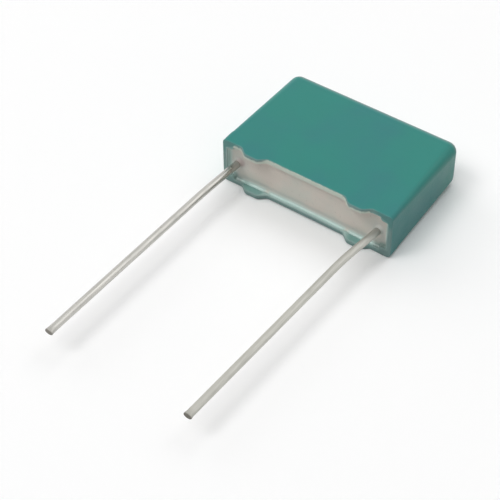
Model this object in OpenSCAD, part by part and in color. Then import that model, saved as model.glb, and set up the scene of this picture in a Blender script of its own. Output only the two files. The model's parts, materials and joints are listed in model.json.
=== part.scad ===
// Box film capacitor with two radial leads.
// Every piece is drawn standing: x runs along the row of leads, y across the two broad faces,
// and z up from the board that the stand-off feet touch, with the leads pointing down.
// lie_down() then lays the finished piece on a broad face, the way it rests when nothing holds it.

/* [Case] */
// Distance between the two leads where they leave the body
lead_pitch = 15; // [10:0.5:27.5]
// How far the case reaches past the middle of each lead
end_margin = 1.5; // [1.3:0.05:2.5]
// Size of the case across its broad faces, at the feet
case_thickness = 5; // [4:0.1:8]
// Height of the case from the feet to the closed end
case_height = 12.5; // [10:0.1:20]
// Wall thickness at the feet
wall = 0.5; // [0.4:0.05:0.8]
// Thickness of the closed end
roof = 0.8; // [0.5:0.05:1.5]
// Mould draft of the case's side walls, inside and outside
draft_angle = 0.3; // [0:0.05:1]
// Rounding of the edges around the closed end
crown_r = 1; // [0.4:0.05:1.4]
// Rounding of the four long corners at the open end
corner_r = 0.4; // [0.2:0.05:0.6]

/* [Stand-off feet] */
// How far the feet stand out past the rim
foot_height = 0.6; // [0.3:0.05:0.8]
// Width of a foot where it grows out of the rim
foot_base = 3.1; // [2:0.1:3.6]
// Width of a foot's flat crest
foot_crest = 1; // [0.4:0.1:1.4]
// How far a foot's middle lies inward of its lead
foot_inset = 2; // [1.8:0.1:3]

/* [Corner posts] */
// Reach of a corner post along the case, from the outside of the end wall
post_length = 1.2; // [0.9:0.05:1.5]
// Reach of a corner post across the case, from the outside of the broad wall
post_depth = 0.9; // [0.7:0.05:1.3]
// Rounding of a corner post's free edge
post_r = 0.3; // [0.1:0.05:0.35]

/* [Potting resin] */
// Depth of the resin's surface behind the rim
resin_recess = 0.45; // [0.3:0.05:0.8]
// Size of the small fillet that the resin draws up around each lead
collar = 0.3; // [0.1:0.05:0.35]

/* [Wound element] */
// Resin between the element and each broad wall
side_gap = 0.35; // [0.2:0.05:0.6]
// Resin between the surface of the potting and the element
mouth_gap = 0.7; // [0.4:0.1:1.5]
// Resin between the element and the closed end
roof_gap = 0.5; // [0.3:0.1:1]
// Thickness of the plain film wrapped around the winding
wrap_thickness = 0.15; // [0.05:0.05:0.3]
// Thickness of the sprayed metal on each end of the winding
spray_thickness = 0.35; // [0.2:0.05:0.6]

/* [Leads] */
// Diameter of the lead wire
wire_d = 0.7; // [0.5:0.05:0.9]
// Length of the left lead below the feet
left_length = 24.5; // [12:0.1:30]
// Length of the right lead below the feet
right_length = 24.9; // [12:0.1:30]
// How deep a wire is welded into the sprayed metal
weld_sink = 0.1; // [0.05:0.05:0.2]
// Length of wire that runs up the sprayed metal
weld_length = 6; // [3:0.5:7]
// Length of a wire from its first kink, under the resin's surface, to its second
first_run = 4.5; // [2:0.5:8]
// Lean of the left lead after its first kink
left_lean = 4.5; // [0:0.5:12]
// Lean of the left lead at its tip
left_tip_lean = 2; // [0:0.5:12]
// Lean of the right lead after its first kink
right_lean = 8; // [0:0.5:12]
// Lean of the right lead at its tip
right_tip_lean = 2.5; // [0:0.5:12]
// Length of the tip that the cutters squeezed
nip_length = 0.5; // [0.2:0.1:1]
// How much wider than the wire its squeezed tip is
nip_spread = 1.2; // [1:0.05:1.4]

/* [Hidden] */

$fn = 48;
left = -1;
right = 1;
overcut = 0.5;       // how far a cutting shape reaches past what it cuts
sliver = 0.01;       // thickness of the discs that a hull starts from
flank_steps = 12;    // straight pieces in each curved flank of a foot
collar_toe = 0.04;   // blunt edge of the resin fillet on a wire

case_length = lead_pitch + 2 * end_margin;
foot_x = lead_pitch / 2 - foot_inset;
resin_z = foot_height + resin_recess;
roof_z = case_height - roof;

wire_r = wire_d / 2;
element_bottom = resin_z + mouth_gap;
element_top = roof_z - roof_gap;
element_length = lead_pitch - wire_d + 2 * weld_sink;
element_thickness = case_thickness - 2 * (wall + side_gap);
winding_length = element_length - 2 * spray_thickness;
weld_top = element_bottom + weld_length;
kink_z = resin_z - collar;

// Half of a drafted size at height z, from its full size at the feet
function drafted_half(size, z) = size / 2 - z * tan(draft_angle);

// ---- Placing ----

// Lays a standing piece on its drafted broad face, with the closed end toward +Y
module lie_down()
    translate([0, -case_height / 2, case_thickness / 2 * cos(draft_angle)])
        rotate([-90 - draft_angle, 0, 0])
            children();

// Repeats a piece at the four corners of the case
module at_corners()
    for (x = [0, 1], y = [0, 1])
        mirror([x, 0, 0])
            mirror([0, y, 0])
                children();

// ---- Case ----

// Outside of the case: drafted faces that run tangent into the rounded closed end
module outer_shape() {
    crown_z = case_height - crown_r;
    face_offset = crown_r / cos(draft_angle);
    hull()
        at_corners() {
            translate([drafted_half(case_length, -overcut) - corner_r,
                       drafted_half(case_thickness, -overcut) - corner_r, -overcut])
                cylinder(r = corner_r, h = sliver);
            translate([drafted_half(case_length, crown_z) - face_offset,
                       drafted_half(case_thickness, crown_z) - face_offset, crown_z])
                sphere(r = crown_r / cos(180 / $fn));
        }
}

// Trapezoid with drafted sides, between two heights
module drafted_outline(size, bottom, top)
    polygon([[-drafted_half(size, bottom), bottom], [drafted_half(size, bottom), bottom],
             [drafted_half(size, top), top], [-drafted_half(size, top), top]]);

// Block with four drafted sides, from its length and width at the feet
module drafted_block(length, width, bottom, top)
    intersection() {
        rotate([90, 0, 0])
            linear_extrude(2 * width, center = true)
                drafted_outline(length, bottom, top);
        rotate([90, 0, 90])
            linear_extrude(2 * length, center = true)
                drafted_outline(width, bottom, top);
    }

// Corner post seen from the open end, reaching past the outside of both walls
module post_outline()
    translate([case_length / 2 - post_length, case_thickness / 2 - post_depth]) {
        translate([post_r, 0])
            square([post_length, post_depth + post_r]);
        translate([0, post_r])
            square([post_length + post_r, post_depth]);
        translate([post_r, post_r])
            circle(r = post_r);
    }

// Inside of the case: a drafted pocket whose corners are filled by the four posts
module pocket(bottom)
    difference() {
        drafted_block(case_length - 2 * wall, case_thickness - 2 * wall, bottom, roof_z);
        at_corners()
            translate([0, 0, bottom - overcut])
                linear_extrude(roof_z - bottom + 2 * overcut)
                    post_outline();
    }

// Smooth flank of a foot, from one point of the rim's line to another
function flank(from, to) =
    [for (i = [0:flank_steps])
        let (t = i / flank_steps)
            [from[0] + (to[0] - from[0]) * t,
             from[1] + (to[1] - from[1]) * (1 - cos(180 * t)) / 2]];

// The rim's line over one foot, from left to right
function foot_line(x) = concat(
    flank([x - foot_base / 2, foot_height], [x - foot_crest / 2, 0]),
    flank([x + foot_crest / 2, 0], [x + foot_base / 2, foot_height]));

// Everything below the rim and between the feet
module rim_relief() {
    reach = case_length / 2 + 2 * overcut;
    rotate([90, 0, 0])
        linear_extrude(2 * case_thickness, center = true)
            polygon(concat(
                [[-reach, -2 * overcut], [-reach, foot_height]],
                foot_line(-foot_x),
                foot_line(foot_x),
                [[reach, foot_height], [reach, -2 * overcut]]));
}

module case()
    color("#438a80")
        lie_down()
            difference() {
                outer_shape();
                pocket(-2 * overcut);
                rim_relief();
            }

// ---- Wound element ----

// Flattened oval seen along the case
module oval(thickness, bottom, top) {
    r = thickness / 2;
    translate([-r, bottom + r])
        square([thickness, top - bottom - thickness]);
    for (z = [bottom + r, top - r])
        translate([0, z])
            circle(r = r);
}

// Length of the element's oval bar, made thinner all around by inset
module element_bar(length, inset)
    rotate([90, 0, 90])
        linear_extrude(length, center = true)
            oval(element_thickness - 2 * inset, element_bottom + inset, element_top - inset);

module film_winding()
    color("#d9d3c2")
        lie_down()
            element_bar(winding_length, wrap_thickness);

module winding_wrap()
    color("#ece9df")
        lie_down()
            difference() {
                element_bar(winding_length, 0);
                element_bar(winding_length + overcut, wrap_thickness);
            }

// Sprayed metal on one end, with the groove that its wire is welded into
module end_spray(side)
    color("#8f9296")
        lie_down()
            difference() {
                translate([side * (winding_length + spray_thickness) / 2, 0, 0])
                    element_bar(spray_thickness, 0);
                buried_wire(side);
            }

// ---- Leads ----

// Straight stretch of wire inside the body
module buried_wire(side)
    translate([side * lead_pitch / 2, 0, kink_z])
        cylinder(r = wire_r, h = weld_top - kink_z);

// Straight wire that runs down from here; each end is cut to the mitre of the kink there
module stretch(length, kink_above, kink_below)
    difference() {
        translate([0, 0, -length - wire_r])
            cylinder(r = wire_r, h = length + 2 * wire_r);
        rotate([0, -kink_above / 2, 0])
            translate([-wire_d, -wire_d, 0])
                cube(2 * wire_d);
        translate([0, 0, -length])
            rotate([0, kink_below / 2, 0])
                translate([-wire_d, -wire_d, -2 * wire_d])
                    cube(2 * wire_d);
    }

// Turns what follows toward -x, at the lower end of a stretch
module kink(length, angle)
    translate([0, 0, -length])
        rotate([0, angle, 0])
            children();

// Tip that the cutters spread and squeezed flat on two sides
module nipped_tip() {
    squeeze = atan((wire_r - wire_r / nip_spread) / nip_length);
    difference() {
        translate([0, 0, -nip_length])
            cylinder(r1 = wire_r * nip_spread, r2 = wire_r, h = nip_length);
        for (flat = [0, 1])
            mirror([0, flat, 0])
                translate([-wire_d, wire_r, 0])
                    rotate([-squeeze, 0, 0])
                        translate([0, 0, -2 * nip_length])
                            cube([2 * wire_d, wire_d, 4 * nip_length]);
    }
}

// Wire welded up one end of the element; it leaves the body with one lean and ends with another
module lead(side, length, lean, tip_lean) {
    in_body = weld_top - kink_z;
    last_run = (kink_z + length - first_run * cos(lean)) / cos(tip_lean) - nip_length;
    color("#cfd0d0")
        lie_down()
            translate([side * lead_pitch / 2, 0, weld_top]) {
                stretch(in_body, 0, lean);
                kink(in_body, lean) {
                    stretch(first_run, lean, tip_lean - lean);
                    kink(first_run, tip_lean - lean) {
                        stretch(last_run, tip_lean - lean, 0);
                        kink(last_run, 0)
                            nipped_tip();
                    }
                }
            }
}

// ---- Potting resin ----

// Concave fillet of resin that climbs a wire
module wire_collar(side)
    translate([side * lead_pitch / 2, 0, resin_z])
        rotate_extrude()
            difference() {
                translate([0, -collar])
                    square([wire_r + collar_toe + collar, collar + overcut / 2]);
                translate([wire_r + collar_toe + collar, -collar])
                    circle(r = collar);
            }

module potting_resin()
    color("#a8a294")
        lie_down()
            difference() {
                union() {
                    pocket(resin_z);
                    wire_collar(left);
                    wire_collar(right);
                }
                element_bar(element_length, 0);
                buried_wire(left);
                buried_wire(right);
            }

// ---- The pieces ----

case();
potting_resin();
film_winding();
winding_wrap();
end_spray(left);  // end_spray_left
end_spray(right);  // end_spray_right
lead(left, left_length, left_lean, left_tip_lean);  // lead_left
lead(right, right_length, right_lean, right_tip_lean);  // lead_right
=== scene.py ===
import json
import math

import bmesh
import bpy
import numpy as np
from mathutils import Matrix, Vector, geometry, noise


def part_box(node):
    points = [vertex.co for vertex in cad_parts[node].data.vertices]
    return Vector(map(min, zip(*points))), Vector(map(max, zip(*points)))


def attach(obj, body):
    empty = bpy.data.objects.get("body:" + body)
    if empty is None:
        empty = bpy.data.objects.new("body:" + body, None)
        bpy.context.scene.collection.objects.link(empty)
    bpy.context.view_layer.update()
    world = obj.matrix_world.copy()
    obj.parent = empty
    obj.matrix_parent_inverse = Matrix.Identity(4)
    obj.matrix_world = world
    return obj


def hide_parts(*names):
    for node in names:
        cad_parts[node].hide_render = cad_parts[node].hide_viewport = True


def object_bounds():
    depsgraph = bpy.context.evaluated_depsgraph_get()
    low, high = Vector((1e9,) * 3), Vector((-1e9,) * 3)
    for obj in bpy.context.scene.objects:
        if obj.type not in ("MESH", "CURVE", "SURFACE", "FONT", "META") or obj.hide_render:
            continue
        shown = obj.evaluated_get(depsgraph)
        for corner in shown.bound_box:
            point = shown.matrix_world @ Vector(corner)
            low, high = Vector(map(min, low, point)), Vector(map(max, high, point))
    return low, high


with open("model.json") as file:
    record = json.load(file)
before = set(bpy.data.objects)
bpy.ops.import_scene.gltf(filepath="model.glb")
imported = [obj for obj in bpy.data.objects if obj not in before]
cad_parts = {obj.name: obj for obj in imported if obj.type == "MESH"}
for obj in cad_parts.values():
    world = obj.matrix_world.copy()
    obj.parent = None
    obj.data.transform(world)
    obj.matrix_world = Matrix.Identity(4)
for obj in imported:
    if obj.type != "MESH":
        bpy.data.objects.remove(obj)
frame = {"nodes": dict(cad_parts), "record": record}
cad_low, cad_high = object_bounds()

# ---- Moulded case ----
# The real case is one injection moulding of teal thermoplastic, open at one end, with a little draft on
# its walls, a post in each inside corner and four smooth stand-off feet on the rim of its broad walls.
# Its skin is satin, finely textured by the mould, and a touch greyer and paler along its rounded edges,
# partly rubbed wear and partly a painted edge sheen.
MM = 0.001  # one millimetre in the frame's metres
CASE_LENGTH = 18.0
CASE_THICKNESS = 5.0
CASE_HEIGHT = 12.5
DRAFT = math.radians(0.3)
WALL = 0.5
ROOF = 0.8
CROWN_R = 1.0  # rounding of the edges around the closed end
CORNER_R = 0.4  # rounding of the four long corners at the open end
RIM = 0.6  # height of the rim above the crests of the feet
RIM_R = 0.09  # rounding of the rim's two edges
FOOT_X = 5.5
FOOT_BASE = 3.1
FOOT_CREST = 1.0
POST_LENGTH = 1.2
POST_DEPTH = 0.9
POST_R = 0.3
INSIDE_R = 0.1  # rounding of the pocket's sharp corners
LOWER_BOW = 0.14  # how far the lower and the upper broad wall lean in at mid-length of the rim
UPPER_BOW = 0.05
BOW_REACH = 3.0  # depth in which that lean dies out
CORNER_SPAN_X = 1.4  # how much of a broad and of an end wall is counted to a corner
CORNER_SPAN_Y = 1.15

# How finely the skin is divided
LONG_STEPS = 62  # along half a broad wall
CORNER_STEPS = 30
END_STEPS = 10  # along half an end wall
ROOF_RINGS = (1.0, 0.7, 0.4, 0.15)  # shares of the way in from the roof's flat edge to its middle line
CROWN_STEPS = 12
SIDE_RINGS = 15
FOOT_BAND = 1.6  # height of the outside's lowest band, whose rings follow the feet
RIM_STEPS = 5
OUTSIDE_DEPTHS = (1.3, 1.0, 0.75, 0.5, 0.3, 0.18)  # rings of that band, from the rim's line up
INSIDE_DEPTHS = (0.2, 0.34, 0.5, 0.75, 1.1, 1.6)
POCKET_HEIGHTS = (3.0, 5.5, 8.5, CASE_HEIGHT - ROOF)

# Each piece is built standing in millimetres, with x along the case, z up from the crests of the feet
# and +y on the lower wall, and is then laid on its broad face in the frame
broad_face = next(m for m in frame["record"]["mounts"] if m["name"] == "broad_face")
lay_down = (
    Matrix.Scale(MM, 4)
    @ Matrix.Translation(Vector(broad_face["pos_m"]) / MM)
    @ Matrix.Translation((0, -CASE_HEIGHT / 2, CASE_THICKNESS / 2 * math.cos(DRAFT)))
    @ Matrix.Rotation(-math.pi / 2 - DRAFT, 4, "X")
)


def rise(value, start, over):
    """0 up to the start, 1 beyond the stretch that follows it, and smooth in between."""
    t = min(max((value - start) / over, 0.0), 1.0)
    return t * t * (3 - 2 * t)


def cos_sin(degrees):
    return math.cos(math.radians(degrees)), math.sin(math.radians(degrees))


def foot_line(x):
    """Height of the rim's line over the board, at x along a broad wall."""
    away = abs(abs(x) - FOOT_X)
    run = (away - FOOT_CREST / 2) / (FOOT_BASE / 2 - FOOT_CREST / 2)
    return RIM * (1 - math.cos(math.pi * min(max(run, 0.0), 1.0))) / 2


def bowed(x, y, z):
    """A point of the case or its filling, with the broad walls leaning in near the open end."""
    depth = LOWER_BOW if y > 0 else UPPER_BOW
    along = max(math.cos(math.pi * x / CASE_LENGTH), 0.0) ** 1.5
    lean = depth * along * math.exp(-max(z - RIM, 0.0) / BOW_REACH)
    share = min(abs(y) / (CASE_THICKNESS / 2 - WALL), 1.0)
    return (x, y - math.copysign(lean * share * share, y), z)


def resampled(path, steps):
    """The path's corner points as evenly spaced points, first one left out."""
    path = np.array(path)
    reach = np.r_[0, np.cumsum(np.linalg.norm(np.diff(path, axis=0), axis=1))]
    at = np.linspace(0, reach[-1], steps + 1)[1:]
    return [(np.interp(s, reach, path[:, 0]), np.interp(s, reach, path[:, 1])) for s in at]


def arc(cx, cy, r, start, end, steps=12):
    turns = [cos_sin(a) for a in np.linspace(start, end, steps + 1)]
    return [(cx + r * c, cy + r * s) for c, s in turns]


def all_round(quarter):
    """Closed outline from one quarter of it, which runs from the y axis to the x axis."""
    half = quarter + [(x, -y) for x, y in quarter[-2::-1]]
    return half + [(-x, y) for x, y in half[-2:0:-1]]


def quarter_outline(half_x, half_y, corner):
    """Quarter of an outline, with the given corner points between its two straight sides."""
    long_end = corner[0][0]
    quarter = [(long_end * i / LONG_STEPS, half_y) for i in range(LONG_STEPS + 1)]
    quarter += resampled(corner, CORNER_STEPS)
    end_start = corner[-1][1]
    quarter += [(half_x, end_start * (1 - i / END_STEPS)) for i in range(1, END_STEPS + 1)]
    return quarter


def outside(half_x, half_y, r, shrunk=0.0):
    """Outline of the outside with corners of radius r, whose spans are shrunk near the roof's middle."""
    long_end = half_x - (CORNER_SPAN_X - 0.4 * shrunk)
    end_start = max(half_y - (CORNER_SPAN_Y - shrunk), 0.0)
    corner = [(long_end, half_y)]
    corner += arc(half_x - r, half_y - r, r, 90, 0)
    corner += [(half_x, min(end_start, half_y - r))]
    return all_round(quarter_outline(half_x, half_y, corner))


def inside(z):
    """Outline of the pocket at height z: straight walls between the four corner posts."""
    slim = (z - RIM) * math.tan(DRAFT)
    half_x = CASE_LENGTH / 2 - WALL - slim
    half_y = CASE_THICKNESS / 2 - WALL - slim
    post_x = CASE_LENGTH / 2 - POST_LENGTH
    post_y = CASE_THICKNESS / 2 - POST_DEPTH
    corner = [(CASE_LENGTH / 2 - CORNER_SPAN_X, half_y)]
    corner += arc(post_x - INSIDE_R, half_y - INSIDE_R, INSIDE_R, 90, 0, 6)
    corner += arc(post_x + POST_R, post_y + POST_R, POST_R, 180, 270)
    corner += arc(half_x - INSIDE_R, post_y - INSIDE_R, INSIDE_R, 90, 0, 6)
    corner += [(half_x, CASE_THICKNESS / 2 - CORNER_SPAN_Y)]
    return all_round(quarter_outline(half_x, half_y, corner))


def toward(start, goal, share):
    """Point a share of the way from one point to another."""
    return (start[0] + (goal[0] - start[0]) * share, start[1] + (goal[1] - start[1]) * share)


def moved(outline, goal, distance):
    """Outline whose points have gone a distance toward the matching points of another."""
    return [toward(a, b, distance / math.dist(a, b)) for a, b in zip(outline, goal)]


def joined_rings(bm, rings):
    """Skin of quads over a list of rings of vertices; each ring is closed."""
    for ring, following in zip(rings, rings[1:]):
        for i in range(len(ring)):
            j = (i + 1) % len(ring)
            corners = [ring[i], ring[j], following[j], following[i]]
            if len(set(corners)) == 4:
                bm.faces.new(corners)


def finished_mesh(name, bm):
    """Object of the shape built standing, cleaned, laid down in the frame and smooth shaded."""
    same_spot = 1e-5
    bmesh.ops.remove_doubles(bm, verts=bm.verts, dist=same_spot)
    bmesh.ops.dissolve_degenerate(bm, edges=bm.edges, dist=same_spot)
    bmesh.ops.recalc_face_normals(bm, faces=bm.faces)
    mesh = bpy.data.meshes.new(name)
    bm.to_mesh(mesh)
    bm.free()
    mesh.transform(lay_down)
    for polygon in mesh.polygons:
        polygon.use_smooth = True
    piece = bpy.data.objects.new(name, mesh)
    bpy.context.scene.collection.objects.link(piece)
    return piece


def rub_and_sheen_share(x, y, z):
    """Share of the rubbing and painted edge sheen that shows: less at the rim's upper corners and below the
    roof's upper edge.
    """
    if z < CASE_HEIGHT / 2:
        return 1 - 0.6 * rise(abs(x), start=6.8, over=0.9) * rise(-y, start=0.6, over=1.0)
    return 1 - 0.55 * rise(y, start=-1.5, over=0.8)


def smear_share(x, y):
    """Share of the smeared resin that shows: on the upper wall alone, and most between its feet."""
    between_feet = 1 - rise(abs(x), start=3.4, over=1.6)
    along_wall = 1 - rise(abs(x + 0.5), start=7.2, over=0.4)
    return (0.62 + 0.38 * between_feet) * rise(-y, start=1.6, over=0.3) * along_wall


def wet_and_painted_light_share(x, y):
    """Share of the resin film and its painted light that shows: less on the lower wall, from its feet
    outward.
    """
    return 1 - 0.55 * rise(abs(x), start=4.2, over=0.8) * rise(y, start=-0.5, over=1.0)


def build_case():
    """The moulding as rings from its closed end down the outside, over the rim and up the pocket."""
    bm = bmesh.new()
    rubbed_and_sheen = bm.verts.layers.float.new("rubbed_and_sheen")
    smeared = bm.verts.layers.float.new("smeared")
    wetted_and_painted_light = bm.verts.layers.float.new("wetted_and_painted_light")
    rings = []

    def add_ring(outline, z, on_rim=False, rub_and_sheen=0.0, smear=0.0, wet_and_painted_light=0.0):
        """A ring at height z, or that far above the rim's line, with its marks."""
        ring = []
        for x, y in outline:
            height = z + foot_line(x) if on_rim else z
            vert = bm.verts.new(bowed(x, y, height))
            vert[rubbed_and_sheen] = rub_and_sheen * rub_and_sheen_share(x, y, height)
            vert[smeared] = smear * smear_share(x, y)
            vert[wetted_and_painted_light] = wet_and_painted_light * wet_and_painted_light_share(x, y)
            ring.append(vert)
        rings.append(ring)

    crown_z = CASE_HEIGHT - CROWN_R
    slim = math.tan(DRAFT)
    top_x = CASE_LENGTH / 2 - crown_z * slim
    top_y = CASE_THICKNESS / 2 - crown_z * slim
    flat_y = top_y - CROWN_R
    for t in ROOF_RINGS:
        add_ring(outside(top_x - CROWN_R - t * flat_y, flat_y * (1 - t), 0.0, shrunk=t), CASE_HEIGHT)
    # the crown's rounded edges get rubbed wear and a painted sheen, strongest halfway round the rounding
    for turn in np.linspace(90, 0, CROWN_STEPS + 1):
        c, s = cos_sin(turn)
        ring = outside(top_x - CROWN_R * (1 - c), top_y - CROWN_R * (1 - c), CROWN_R * c)
        add_ring(ring, crown_z + CROWN_R * s, rub_and_sheen=cos_sin(2 * turn)[1] ** 2)
    for z in np.linspace(crown_z, RIM + FOOT_BAND, SIDE_RINGS + 1)[1:]:
        r = CORNER_R + (CROWN_R - CORNER_R) * (z - RIM) / (crown_z - RIM)
        add_ring(outside(CASE_LENGTH / 2 - z * slim, CASE_THICKNESS / 2 - z * slim, r), z)

    rim_outside = outside(CASE_LENGTH / 2 - RIM * slim, CASE_THICKNESS / 2 - RIM * slim, CORNER_R)
    rim_inside = inside(RIM)
    for depth in OUTSIDE_DEPTHS:
        add_ring(rim_outside, depth, on_rim=True)
    for turn in np.linspace(0, 90, RIM_STEPS + 1):
        c, s = cos_sin(turn)
        ring = moved(rim_outside, rim_inside, RIM_R * (1 - c))
        add_ring(ring, RIM_R * (1 - s), on_rim=True, rub_and_sheen=0.5 + s / 2, smear=0.38 + 0.25 * s)
    outer_edge = moved(rim_outside, rim_inside, RIM_R)
    inner_edge = moved(rim_inside, rim_outside, RIM_R)
    for share, smear in ((0.33, 0.72), (0.66, 0.9)):
        flat = [toward(a, b, share) for a, b in zip(outer_edge, inner_edge)]
        add_ring(flat, 0.0, on_rim=True, rub_and_sheen=1.0, smear=smear)
    # the rim's inner round and the pocket walls take a resin film, lightened as painted light where they lie
    # in shade
    for turn in np.linspace(90, 0, RIM_STEPS + 1):
        c, s = cos_sin(turn)
        ring = moved(rim_inside, rim_outside, RIM_R * (1 - c))
        add_ring(ring, RIM_R * (1 - s), on_rim=True, rub_and_sheen=0.5 + s / 2, smear=1.0, wet_and_painted_light=1 - 0.5 * s)
    for depth in INSIDE_DEPTHS:
        add_ring(inside(RIM + depth), depth, on_rim=True, smear=1.0, wet_and_painted_light=1.0)
    for z in POCKET_HEIGHTS:
        add_ring(inside(z), z)
    joined_rings(bm, rings)
    bm.faces.new(rings[-1])
    return finished_mesh("case_shell", bm)


class Value:
    """A socket whose number varies over a surface; arithmetic on it adds Math nodes."""

    def __init__(self, nodes, socket):
        self.nodes = nodes
        self.socket = socket

    def math(self, operation, *operands):
        return self.nodes.node("ShaderNodeMath", {"operation": operation}, dict(enumerate(operands)))

    def __add__(self, other):
        return self.math("ADD", self, other)

    def __sub__(self, other):
        return self.math("SUBTRACT", self, other)

    def __rsub__(self, other):
        return self.math("SUBTRACT", other, self)

    def __mul__(self, other):
        return self.math("MULTIPLY", self, other)

    __radd__ = __add__
    __rmul__ = __mul__


class Nodes:
    """An emptied node tree, filled node by node up to its output."""

    def __init__(self, tree, output_kind):
        self.tree = tree
        self.tree.nodes.clear()
        self.output = self.tree.nodes.new(output_kind)

    def node(self, kind, settings=None, inputs=None, output=0):
        """A node of that type with its settings, then the values or links of its sockets."""
        made = self.tree.nodes.new(kind)
        for key, value in (settings or {}).items():
            setattr(made, key, value)
        for key, value in (inputs or {}).items():
            if isinstance(value, Value):
                self.tree.links.new(value.socket, made.inputs[key])
            else:
                made.inputs[key].default_value = value
        return Value(self, made.outputs[output])

    def show(self, surface):
        self.tree.links.new(surface.socket, self.output.inputs["Surface"])


class Finish(Nodes):
    """A material, whose nodes feed its Principled shader."""

    def __init__(self, name, **constants):
        self.material = bpy.data.materials.new(name)
        self.material.use_nodes = True
        super().__init__(self.material.node_tree, "ShaderNodeOutputMaterial")
        self.shader = self.tree.nodes.new("ShaderNodeBsdfPrincipled")
        self.plain = Value(self, self.shader.outputs[0])
        self.show(self.plain)
        self.place = self.node("ShaderNodeTexCoord", output="Object")
        for socket, value in constants.items():
            self.shader.inputs[socket.replace("_", " ")].default_value = value

    def feed(self, socket, value):
        self.tree.links.new(value.socket, self.shader.inputs[socket])

    def grain(self, scale, detail=3.0, roughness=0.5, stretch=(1, 1, 1)):
        """Noise over the piece, with features about 1/scale of a metre across."""
        place = self.node("ShaderNodeVectorMath", {"operation": "MULTIPLY"}, {0: self.place, 1: stretch})
        inputs = {"Vector": place, "Scale": scale, "Detail": detail, "Roughness": roughness}
        return self.node("ShaderNodeTexNoise", {"noise_dimensions": "3D"}, inputs)

    def ranged(self, value, low, high):
        """0 below the low number, 1 above the high one, and smooth in between."""
        settings = {"interpolation_type": "SMOOTHSTEP"}
        inputs = {"Value": value, "From Min": low, "From Max": high}
        return self.node("ShaderNodeMapRange", settings, inputs)

    def mixed(self, share, first, second):
        """Two colours mixed by a share."""
        return self.node("ShaderNodeMix", {"data_type": "RGBA"}, {0: share, 6: first, 7: second}, 2)

    def mask(self, name):
        return self.node("ShaderNodeAttribute", {"attribute_name": name}, output="Fac")

    def bumps(self, *layers):
        """Bump nodes in a chain, from (height, distance in metres, strength) layers."""
        normal = None
        for height, distance, strength in layers:
            inputs = {"Height": height, "Distance": distance, "Strength": strength}
            if normal:
                inputs["Normal"] = normal
            normal = self.node("ShaderNodeBump", inputs=inputs)
        self.feed("Normal", normal)


def srgb(r, g, b):
    """Linear colour from the familiar 0 to 255 numbers."""
    return tuple(((v / 255 + 0.055) / 1.055) ** 2.4 for v in (r, g, b)) + (1.0,)


teal = srgb(32, 126, 116)
blue_teal = srgb(37, 120, 118)
light_teal = srgb(40, 128, 120)
worn_and_sheen_teal = srgb(136, 150, 147)
painted_light_wetted_teal = srgb(182, 206, 200)
smeared_resin = srgb(206, 214, 200)

plastic = Finish("teal_moulded_plastic", Roughness=0.5, IOR=1.5, Specular_IOR_Level=0.38)
skin = plastic.grain(16000, 3, 0.6)
mottle = plastic.grain(160, 2)
cloud = plastic.grain(420, 4, 0.6)
ragged = plastic.mask("smeared") + plastic.grain(2600, 3) * 0.3 - 0.15
body_colour = plastic.mixed(plastic.ranged(mottle, 0.35, 0.65), teal, blue_teal)
body_colour = plastic.mixed(plastic.ranged(cloud, 0.3, 0.8) * 0.25, body_colour, light_teal)
# paler grey-teal on the rounded edges and the rim: partly rubbed wear, partly painted edge sheen
body_colour = plastic.mixed(plastic.mask("rubbed_and_sheen") * 0.6, body_colour, worn_and_sheen_teal)
# light resin film on the inner round and the pocket walls: painted light that lifts their shade
body_colour = plastic.mixed(plastic.mask("wetted_and_painted_light") * 0.85, body_colour, painted_light_wetted_teal)
body_colour = plastic.mixed(plastic.ranged(ragged, 0.42, 0.6) * 0.85, body_colour, smeared_resin)
plastic.feed("Base Color", body_colour)
satin = 0.32 + plastic.ranged(cloud, 0.3, 0.7) * 0.08
plastic.feed("Roughness", satin + plastic.mask("rubbed_and_sheen") * 0.08 - plastic.mask("wetted_and_painted_light") * 0.15)
plastic.bumps((cloud, 0.00004, 0.35), (skin, 0.000012, 0.5))

case_shell = build_case()
case_shell.data.materials.append(plastic.material)
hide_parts("case")
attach(case_shell, "root")

# ---- Leads ----
# Each real lead is a straight length of tinned wire, welded to one sprayed end of the element before
# the box is filled. It leaves the resin square, takes a slight set close to the body, and ends where
# side cutters pinched it off, which leaves a spread, flattened tip with a dull grey cut face.
WIRE_R = 0.35
LEAD_PITCH = 15.0
RESIN_Z = RIM + 0.45  # height of the resin's face, a little behind the rim
ELEMENT_Z = RESIN_Z + 0.7
WELD_TOP = ELEMENT_Z + 6.0
KINK_Z = RESIN_Z - 0.3
FIRST_RUN = 4.5  # from the first kink to the second
FIRST_EASE = 0.3  # how far from each kink its bend begins
SECOND_EASE = 1.6
BEND_STEPS = 8
NIP_LENGTH = 0.5
NIP_SPREAD = 1.2
NIP_RINGS = 18
TIP_R = 0.12  # the worn rounding of the cut end
CUT_LENGTH = 0.2  # how far the cut's grey reaches up the wire, and how far a faint dulling does
DULL_LENGTH = 0.9
# over this length each wire carries a resin film, darkened at its root as painted shade
RESINED_AND_SHADED_LENGTH = 1.3  # how far resin has crept along a wire
RING_STEP = 0.2
ROUND_WIRE = 28
RIPPLE = 0.006  # unevenness of the drawn wire, as a share of its radius
WIRES = {
    "lead_left": {"side": -1, "length": 24.5, "lean": 4.5, "tip_lean": 2.0},
    "lead_right": {"side": 1, "length": 24.9, "lean": 8.0, "tip_lean": 2.5},
}


def down(lean):
    """Downward direction, turned toward -x by some degrees."""
    c, s = cos_sin(lean)
    return np.array([-s, 0.0, -c])


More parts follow.
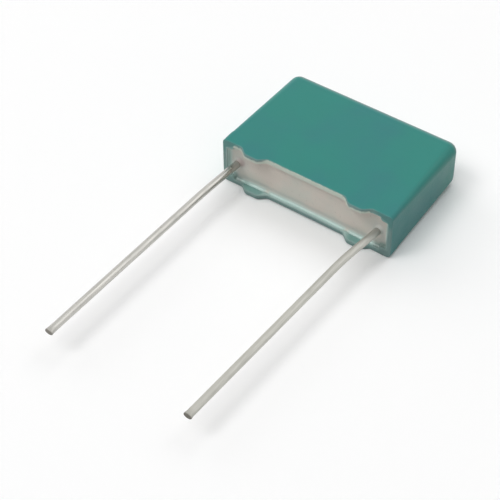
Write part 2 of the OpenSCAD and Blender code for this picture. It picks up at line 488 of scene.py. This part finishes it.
def lead_path(side, length, lean, tip_lean):
    """Points down the middle of a lead with its kinks eased into bends, and how far along each is."""
    last_run = (KINK_Z + length - FIRST_RUN * cos_sin(lean)[0]) / cos_sin(tip_lean)[0]
    start = np.array([side * LEAD_PITCH / 2, 0.0, WELD_TOP])
    first = np.array([side * LEAD_PITCH / 2, 0.0, KINK_Z])
    second = first + FIRST_RUN * down(lean)
    tip = second + last_run * down(tip_lean)
    points = [start]
    for before, kink, after, ease in ((start, first, second, FIRST_EASE), (first, second, tip, SECOND_EASE)):
        a = kink + ease * (before - kink) / np.linalg.norm(before - kink)
        b = kink + ease * (after - kink) / np.linalg.norm(after - kink)
        for t in np.linspace(0, 1, BEND_STEPS + 1):
            points.append((1 - t) ** 2 * a + 2 * t * (1 - t) * kink + t * t * b)
    points.append(tip)
    points = np.array(points)
    reach = np.r_[0, np.cumsum(np.linalg.norm(np.diff(points, axis=0), axis=1))]
    nip_start = reach[-1] - NIP_LENGTH
    plain_rings = np.arange(0, nip_start - RING_STEP / 2, RING_STEP)
    at = np.r_[plain_rings, np.linspace(nip_start, reach[-1], NIP_RINGS)]
    return np.array([[np.interp(s, reach, points[:, k]) for k in range(3)] for s in at]), at


def build_lead(name, side, length, lean, tip_lean):
    """A wire as rings along its path, squeezed flat and spread at its tip."""
    bm = bmesh.new()
    cut = bm.verts.layers.float.new("cut")
    resined_and_shaded = bm.verts.layers.float.new("resined_and_shaded")
    path, at = lead_path(side, length, lean, tip_lean)
    tangents = np.gradient(path, axis=0)
    tangents /= np.linalg.norm(tangents, axis=1)[:, None]
    across = np.array([0.0, 1.0, 0.0])
    own_noise = Vector((side * 9, 0, 0))
    whole = at[-1]
    rings = []
    for reach, point, tangent in zip(at, path, tangents):
        sideways = np.cross(across, tangent)
        nip = rise(reach - whole + NIP_LENGTH, start=0, over=NIP_LENGTH)
        rounding = max(reach - whole + TIP_R, 0.0) / TIP_R
        drawn_in = TIP_R / WIRE_R * (1 - math.sqrt(1 - rounding**2))
        wide = 1 + (NIP_SPREAD - 1) * nip - drawn_in
        flat = 1 - (1 - 1 / NIP_SPREAD) * nip - drawn_in
        cut_mark = 1 - rise(whole - reach, start=0, over=CUT_LENGTH)
        dull_mark = 0.3 * (1 - rise(whole - reach, start=0, over=DULL_LENGTH))
        ring = []
        for i in range(ROUND_WIRE):
            a = 2 * math.pi * i / ROUND_WIRE
            spot = Vector((math.cos(a), math.sin(a), reach * 0.7))
            r = WIRE_R * (1 + RIPPLE * noise.noise(spot + own_noise) if nip == 0 else 1)
            out = r * (math.cos(a) * wide * sideways + math.sin(a) * flat * across)
            vert = bm.verts.new(point + out)
            vert[cut] = max(cut_mark, dull_mark)
            vert[resined_and_shaded] = 1 - rise(RESIN_Z - point[2], start=0, over=RESINED_AND_SHADED_LENGTH)
            ring.append(vert)
        rings.append(ring)
    # the cut face, in rings that close in on its middle
    centre = Vector(path[-1])
    edge = [vert.co - centre for vert in rings[-1]]
    for share in (0.85, 0.6, 0.3):
        ring = []
        for spot in edge:
            vert = bm.verts.new(centre + spot * share)
            vert[cut] = 1.0
            ring.append(vert)
        rings.append(ring)
    joined_rings(bm, rings)
    bm.faces.new(rings[-1])
    bm.faces.new(rings[0])
    return finished_mesh(name, bm)


def tinned(name, light, dull, rough, stain):
    """Tinned wire, from its lightest and dullest tone; its roughness varies in patches."""
    tin = Finish(name, Roughness=rough)
    drawn = tin.grain(9000, 4, 0.6, (1, 0.03, 1))
    patches = tin.grain(900, 3, 0.55, (1, 0.35, 1))
    fine = tin.grain(26000, 2)
    resined_and_shaded = tin.mask("resined_and_shaded")
    cut = tin.mask("cut")
    patch_tone = srgb(*(0.86 * v for v in dull))
    cut_grey = srgb(104, 100, 92)
    resin_film_and_shade = srgb(140, 139, 132)
    flux_brown = srgb(142, 98, 94)
    tone = tin.mixed(tin.ranged(drawn, 0.35, 0.65), srgb(*dull), srgb(*light))
    tone = tin.mixed(tin.ranged(patches, 0.55, 0.75) * 0.4, tone, patch_tone)
    tone = tin.mixed(cut * 0.8, tone, cut_grey)
    # grey at each wire's root: a resin film, darkened as painted shade at the root
    tone = tin.mixed(resined_and_shaded * 0.85, tone, resin_film_and_shade)
    tone = tin.mixed(tin.ranged(resined_and_shaded, 0.75, 0.95) * stain, tone, flux_brown)
    tin.feed("Base Color", tone)
    wear = cut * 0.2 + resined_and_shaded * 0.25
    tin.feed("Roughness", rough - 0.05 + tin.ranged(patches, 0.4, 0.75) * 0.14 + wear)
    tin.feed("Metallic", 1 - resined_and_shaded * 0.7)
    tin.bumps((drawn, 0.000012, 0.5), (patches, 0.00003, 0.3), (fine, 0.000006, 0.35))
    return tin


wire_finishes = {
    "lead_left": tinned("bright_tinned_wire", (198, 196, 190), (182, 181, 176), rough=0.31, stain=0.35),
    "lead_right": tinned("dull_tinned_wire", (196, 195, 188), (184, 183, 176), rough=0.58, stain=0.0),
}
leads = {}
for name, shape in WIRES.items():
    leads[name] = build_lead(name + "_wire", **shape)
    leads[name].data.materials.append(wire_finishes[name].material)
    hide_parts(name)
    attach(leads[name], "root")

# ---- Wound element ----
# Inside the resin lies a flattened roll of metallised film, wrapped in a few turns of plain film, with
# a coat of sprayed zinc on each end that ties the turns together and takes the weld of a lead.
# These solids keep their shape from the frame and are only seen if the resin is taken away.
film = Finish("metallised_film", Metallic=0.6, Roughness=0.35)
turns = film.grain(14000, 3, 0.5, (0.02, 1, 1))
film_tone = film.mixed(film.ranged(turns, 0.35, 0.65), srgb(196, 190, 176), srgb(222, 217, 202))
film.feed("Base Color", film_tone)
film.feed("Roughness", 0.28 + turns * 0.2)
film.bumps((turns, 0.00002, 0.4))

wrap = Finish("plain_film", Roughness=0.25, IOR=1.6)
creases = wrap.grain(1800, 4, 0.6, (0.3, 1, 1))
wrap_tone = wrap.mixed(wrap.ranged(creases, 0.3, 0.7), srgb(232, 228, 216), srgb(244, 241, 232))
wrap.feed("Base Color", wrap_tone)
wrap.feed("Roughness", 0.2 + creases * 0.2)
wrap.bumps((creases, 0.00003, 0.3))

zinc = Finish("sprayed_zinc", Metallic=0.9, Roughness=0.7)
droplets = zinc.grain(11000, 5, 0.7)
zinc_tone = zinc.mixed(zinc.ranged(droplets, 0.35, 0.65), srgb(112, 114, 118), srgb(168, 170, 172))
zinc.feed("Base Color", zinc_tone)
zinc.feed("Roughness", 0.55 + droplets * 0.3)
zinc.bumps((droplets, 0.00006, 0.8))

for node, finish in {
    "film_winding": film,
    "winding_wrap": wrap,
    "end_spray_left": zinc,
    "end_spray_right": zinc,
}.items():
    frame["nodes"][node].data.materials.clear()
    frame["nodes"][node].data.materials.append(finish.material)

# ---- Potting resin ----
# Two-part filled epoxy, poured in over the element and cured. It wets the plastic and the wires, so its
# matt beige face draws up in a glossy meniscus along the walls, round the posts and about each lead.
WALL_CLIMB = 0.37
WALL_SPREAD = 0.42
WIRE_CLIMB = 0.3
WIRE_SPREAD = 0.34
MOST_CLIMB = 0.39
SWELL = 0.03  # height of the face's broad unevenness, and of the finer one on it
FINE_SWELL = 0.008
STAIN_X = 0.2 - LEAD_PITCH / 2  # a brown stain beside the left lead
STAIN_Y = -0.12
ELEMENT_LENGTH = LEAD_PITCH - 2 * WIRE_R + 0.2  # the wires sink 0.1 into each sprayed end
ELEMENT_THICKNESS = CASE_THICKNESS - 2 * WALL - 0.7
ELEMENT_TOP = CASE_HEIGHT - ROOF - 0.5

# How finely the resin's face is divided: rows along its edge, rings about each wire, a plain grid
EDGE_ROWS = (0.012, 0.03, 0.055, 0.09, 0.135, 0.19, 0.255, 0.33, 0.42)
WIRE_RINGS = (0.2, 0.31, 0.355, 0.37, 0.395, 0.43, 0.48, 0.54, 0.61, 0.7, 0.8, 0.9)
WIRE_RING_STEPS = 40
GRID_STEP = 0.13
GRID_HALF_X = 8.6
GRID_HALF_Y = 2.1
GRID_FROM_WALL = 0.47
GRID_FROM_WIRE = 0.95


def distance_to_outline(points, outline):
    """Shortest distance of each point to a closed outline."""
    a = np.array(outline)
    along = np.roll(a, -1, axis=0) - a
    rel = points[:, None, :] - a[None]
    t = np.clip((rel * along[None]).sum(2) / (along**2).sum(1)[None], 0, 1)
    return np.linalg.norm(rel - t[..., None] * along[None], axis=2).min(1)


def distance_to_wires(points):
    """Distance of each point to the middle of the nearer wire."""
    middles = [np.array([side * LEAD_PITCH / 2, 0.0]) for side in (-1, 1)]
    return np.min([np.linalg.norm(points - middle, axis=1) for middle in middles], axis=0)


def inside_outline(points, outline):
    """Whether each point lies inside a closed outline."""
    ax, ay = np.array(outline).T
    bx, by = np.roll(ax, -1), np.roll(ay, -1)
    x, y = points[:, 0, None], points[:, 1, None]
    spans = (ay > y) != (by > y)
    with np.errstate(divide="ignore", invalid="ignore"):
        crossing = ax + (y - ay) * (bx - ax) / (by - ay)
    return (spans & (x < crossing)).sum(1) % 2 == 1


def drawn_up(away, climb, spread):
    """Height of a meniscus at a distance from what it wets: a concave quarter round."""
    t = 1 - min(max(away, 0.0) / spread, 1.0)
    return climb * (1 - math.sqrt(1 - t * t))


def hump(value, middle, width):
    """1 at the middle, and falling away on both sides like a bell."""
    return math.exp(-(((value - middle) / width) ** 2))


def face_spots(outline):
    """Points of the resin's face: the outline itself first, then rows, rings and a grid inside it."""
    loop = np.array(outline)
    tangent = np.roll(loop, -1, axis=0) - np.roll(loop, 1, axis=0)
    tangent /= np.linalg.norm(tangent, axis=1)[:, None]
    inward = np.c_[tangent[:, 1], -tangent[:, 0]]
    spots = []
    for k, off in enumerate(EDGE_ROWS):
        row = loop[k % 2 :: 2] + off * inward[k % 2 :: 2]
        row = row[inside_outline(row, outline)]
        spots.append(row[distance_to_outline(row, outline) > off * 0.9])
    for side in (-1, 1):
        for k, r in enumerate(WIRE_RINGS):
            turn = np.linspace(0, 2 * np.pi, WIRE_RING_STEPS, endpoint=False)
            turn += (k % 2) * np.pi / WIRE_RING_STEPS
            spots.append(np.array([side * LEAD_PITCH / 2, 0.0]) + r * np.c_[np.cos(turn), np.sin(turn)])
    grid_x = np.arange(-GRID_HALF_X, GRID_HALF_X, GRID_STEP)
    grid_y = np.arange(-GRID_HALF_Y, GRID_HALF_Y, GRID_STEP)
    grid = np.array([(x + (j % 2) * GRID_STEP / 2, y) for j, y in enumerate(grid_y) for x in grid_x])
    grid = grid[inside_outline(grid, outline)]
    clear = distance_to_outline(grid, outline) > GRID_FROM_WALL
    spots.append(grid[clear & (distance_to_wires(grid) > GRID_FROM_WIRE)])
    spots = np.vstack(spots)
    return np.vstack([loop, spots[inside_outline(spots, outline)]])


def build_resin():
    """The filling: its uneven, drawn-up face, and plain walls down to the closed end."""
    outline = inside(RESIN_Z)
    n = len(outline)
    edges = [(i, (i + 1) % n) for i in range(n)]
    spots = [Vector(spot) for spot in face_spots(outline)]
    flat, _, faces, origin, _, _ = geometry.delaunay_2d_cdt(spots, edges, [list(range(n))], 1, 1e-5)
    flat = np.array([tuple(spot) for spot in flat])
    from_wall = distance_to_outline(flat, outline)
    from_wire = distance_to_wires(flat) - WIRE_R

    bm = bmesh.new()
    wet_and_painted_light = bm.verts.layers.float.new("wet_and_painted_light")
    by_wire = bm.verts.layers.float.new("by_wire")
    stained = bm.verts.layers.float.new("stained")
    thin_shade = bm.verts.layers.float.new("thin_shade")
    corner_painted_shade = bm.verts.layers.float.new("corner_painted_shade")
    face_verts = []
    for (x, y), wall, wire in zip(flat, from_wall, from_wire):
        beside_foot = hump(abs(x), 4.3, 0.22) if y > 1.2 else 0.0
        climb = drawn_up(wall, WALL_CLIMB, WALL_SPREAD) * (1 - 0.45 * beside_foot)
        collar = drawn_up(wire, WIRE_CLIMB, WIRE_SPREAD)
        swell = SWELL * noise.noise(Vector((x * 0.5, y * 0.5, 3.0)))
        swell += FINE_SWELL * noise.noise(Vector((x * 2.2, y * 2.2, 7.0)))
        z = RESIN_Z - min(climb + collar, MOST_CLIMB) - swell * (1 - climb / WALL_CLIMB)
        vert = bm.verts.new(bowed(x, y, z))
        # the wet mark is the glossy meniscus edge; its light green colour is a painted highlight, kept
        # mostly to the lit lower side and broken beside the feet
        on_edge = 1 - rise(wall, start=0, over=WALL_SPREAD)
        lit_side = 1 - 0.8 * rise(-y, start=0.9, over=1.0)
        # painted shade in the pocket's two lower corners, beside the posts
        shaded_low_corner = rise(abs(x), start=6.9, over=0.5) * rise(y, start=0.9, over=0.5)
        vert[wet_and_painted_light] = on_edge * (1 - 0.8 * beside_foot) * lit_side
        vert[thin_shade] = hump(wall, 0.5, 0.2) * rise(y, start=0, over=1.2)
        vert[corner_painted_shade] = shaded_low_corner * (1 - rise(wall, start=0.1, over=0.4))
        vert[stained] = 1 - rise(math.hypot(x - STAIN_X, y - STAIN_Y), start=0.2, over=0.45)
        vert[by_wire] = math.exp(-max(wire, 0.0) / 0.45)
        face_verts.append(vert)
    for corners in faces:
        bm.faces.new([face_verts[i] for i in corners])
    made_from = {old: new for new, olds in enumerate(origin) for old in olds}
    rings = [[face_verts[made_from[i]] for i in range(n)]]
    for z in (RESIN_Z + 0.2, *POCKET_HEIGHTS):
        rings.append([bm.verts.new(bowed(x, y, z)) for x, y in inside(z)])
    joined_rings(bm, rings)
    bm.faces.new(rings[-1])
    return finished_mesh("resin_fill", bm)


def element_void():
    """The room that the element takes inside the resin: a flattened oval bar."""
    bm = bmesh.new()
    r = ELEMENT_THICKNESS / 2
    oval = arc(0, ELEMENT_TOP - r, r, 0, 180, 20) + arc(0, ELEMENT_Z + r, r, 180, 360, 20)
    ends = (-ELEMENT_LENGTH / 2, ELEMENT_LENGTH / 2)
    rings = [[bm.verts.new((x, y, z)) for y, z in oval] for x in ends]
    joined_rings(bm, rings)
    for ring in rings:
        bm.faces.new(ring)
    return finished_mesh("void", bm)


resin = build_resin()
void = element_void()
for k, taken_out in enumerate([void, *leads.values()]):
    room = resin.modifiers.new("room_%d" % k, "BOOLEAN")
    room.operation = "DIFFERENCE"
    room.solver = "EXACT"
    room.object = taken_out
bpy.context.view_layer.update()
hollowed = bpy.data.meshes.new_from_object(resin.evaluated_get(bpy.context.evaluated_depsgraph_get()))
resin.modifiers.clear()
resin.data = hollowed
bpy.data.objects.remove(void)
for polygon in resin.data.polygons:
    polygon.use_smooth = True

beige = srgb(203, 203, 193)
warm_beige = srgb(212, 203, 193)
speck_brown = srgb(176, 171, 160)
collar_grey = srgb(171, 178, 176)
shade_green = srgb(144, 169, 169)
painted_highlight_wet_green = srgb(167, 207, 202)
stain_brown = srgb(153, 115, 115)
painted_shade_corner_green = srgb(99, 122, 115)

epoxy = Finish("filled_epoxy", Roughness=0.5, IOR=1.55)
filler = epoxy.grain(9000, 4, 0.65)
flow = epoxy.grain(300, 3, 0.55)
specks = epoxy.grain(4200, 2, 0.5)
face_colour = epoxy.mixed(epoxy.ranged(flow, 0.35, 0.65), beige, warm_beige)
face_colour = epoxy.mixed(epoxy.ranged(specks, 0.62, 0.72) * 0.35, face_colour, speck_brown)
face_colour = epoxy.mixed(epoxy.mask("by_wire") * 0.6, face_colour, collar_grey)
face_colour = epoxy.mixed(epoxy.mask("thin_shade") * 0.3, face_colour, shade_green)
# light green painted highlight along the glossy meniscus edge, which is also smoother
face_colour = epoxy.mixed(epoxy.mask("wet_and_painted_light") * 0.8, face_colour, painted_highlight_wet_green)
face_colour = epoxy.mixed(epoxy.mask("stained") * 0.45, face_colour, stain_brown)
# painted shade in the pocket's lower corners beside the posts
face_colour = epoxy.mixed(epoxy.mask("corner_painted_shade") * 0.75, face_colour, painted_shade_corner_green)
epoxy.feed("Base Color", face_colour)
epoxy.feed("Roughness", 0.48 + filler * 0.12 - epoxy.mask("wet_and_painted_light") * 0.42)
epoxy.bumps((flow, 0.00006, 0.3), (filler, 0.000015, 0.4))

resin.data.materials.clear()
resin.data.materials.append(epoxy.material)
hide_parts("potting_resin")
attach(resin, "root")

# ---- Setting ----
# The part lies on its broad face on a plain white table in a white room, among high soft lamps that are
# brighter on its left. Of the lamps, gloss mirrors only the small key at the front left and the one at
# the back right. The table shows white to the camera and keeps the part's soft shadow.
FLOOR_HALF = 0.6
TABLE_GAP = 0.00002  # keeps the table's face from fighting with the part's
LAMP_REACH = 2.0
WHITE = (1, 1, 1, 1)
ROOM_FILL = 0.09  # light of the room itself, where white is 1


def direct_view(nodes):
    """1 for rays from the camera, reflections in metal and views through clear pieces, else 0."""
    kinds = ("Is Camera Ray", "Is Glossy Ray", "Is Transmission Ray")
    camera_ray, glossy_ray, clear_ray = (nodes.node("ShaderNodeLightPath", output=kind) for kind in kinds)
    return camera_ray.math("MAXIMUM", camera_ray.math("MAXIMUM", camera_ray, glossy_ray), clear_ray)


bm = bmesh.new()
bmesh.ops.create_grid(bm, x_segments=8, y_segments=8, size=FLOOR_HALF)
table_mesh = bpy.data.meshes.new("table")
bm.to_mesh(table_mesh)
bm.free()
table = bpy.data.objects.new("table", table_mesh)
table.location.z = cad_low.z - TABLE_GAP
bpy.context.scene.collection.objects.link(table)
laminate = Finish("white_table", Base_Color=(0.85, 0.85, 0.85, 1), Roughness=0.9, Specular_IOR_Level=0.1)
card = laminate.node("ShaderNodeBsdfDiffuse", {}, {"Color": (0.97, 0.97, 0.97, 1)})
lift = laminate.node("ShaderNodeEmission", {}, {"Color": WHITE, "Strength": 0.03})
lifted = laminate.node("ShaderNodeAddShader", {}, {0: card, 1: lift})
table_seen = direct_view(laminate)
laminate.show(laminate.node("ShaderNodeMixShader", {}, {0: table_seen, 1: laminate.plain, 2: lifted}))
table.data.materials.append(laminate.material)

world = bpy.data.worlds.new("white_room")
bpy.context.scene.world = world
world.use_nodes = True
white_room = Nodes(world.node_tree, "ShaderNodeOutputWorld")
fill = white_room.node("ShaderNodeBackground", {}, {"Color": WHITE, "Strength": ROOM_FILL})
backdrop = white_room.node("ShaderNodeBackground", {}, {"Color": WHITE, "Strength": 1.0})
room_seen = direct_view(white_room)
white_room.show(white_room.node("ShaderNodeMixShader", {}, {0: room_seen, 1: fill, 2: backdrop}))

middle = (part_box("case")[0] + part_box("case")[1]) / 2


def soft_lamp(name, direction, half_angle, level, mirrored=False):
    """Round soft lamp, seen from the part as a disc; at level 1 it alone lights a white card to white."""
    spread = math.radians(half_angle)
    lamp = bpy.data.lights.new(name, "AREA")
    lamp.shape = "DISK"
    lamp.size = 2 * LAMP_REACH * math.tan(spread)
    lamp.energy = level / math.sin(spread) ** 2 * (math.pi * lamp.size / 2) ** 2
    holder = bpy.data.objects.new(name, lamp)
    direction = Vector(direction).normalized()
    holder.location = middle + direction * LAMP_REACH
    holder.rotation_mode = "QUATERNION"
    holder.rotation_quaternion = direction.to_track_quat("Z", "Y")
    holder.visible_glossy = mirrored
    bpy.context.scene.collection.objects.link(holder)


soft_lamp("key_lamp", (-0.38, -0.42, 0.82), 11, 0.175, mirrored=True)
soft_lamp("back_lamp", (0.0, 0.6, 0.8), 22, 0.195)
soft_lamp("back_left_lamp", (-0.5, 0.5, 0.7), 26, 0.16)
soft_lamp("left_lamp", (-0.85, 0.1, 0.45), 22, 0.205)
soft_lamp("front_left_lamp", (-0.25, -0.4, 0.88), 24, 0.165)
soft_lamp("front_lamp", (0.0, -0.5, 0.86), 20, 0.18)
soft_lamp("back_right_lamp", (0.40, 0.55, 0.73), 22, 0.085, mirrored=True)
soft_lamp("right_lamp", (0.85, -0.3, 0.42), 28, 0.055)

# The camera: a long lens from the front right, above the part
CAMERA_PLACE = (52.155, -86.364, 97.788)
CAMERA_RIGHT = Vector((0.817689, 0.575549, -0.011336))
CAMERA_AHEAD = Vector((-0.401253, 0.555723, -0.728126))
SENSOR_WIDTH = 36
LENS = 109.18

camera = bpy.data.objects.new("camera", bpy.data.cameras.new("camera"))
bpy.context.scene.collection.objects.link(camera)
bpy.context.scene.camera = camera
camera.data.sensor_width = SENSOR_WIDTH
camera.data.lens = LENS
camera.data.clip_start = 0.001
camera.data.clip_end = 10
up = CAMERA_RIGHT.cross(CAMERA_AHEAD)
turned = Matrix((CAMERA_RIGHT, up, -CAMERA_AHEAD)).transposed().to_4x4()
camera.matrix_world = Matrix.Translation(Vector(CAMERA_PLACE) * MM) @ turned

bpy.context.scene.view_settings.view_transform = "Standard"
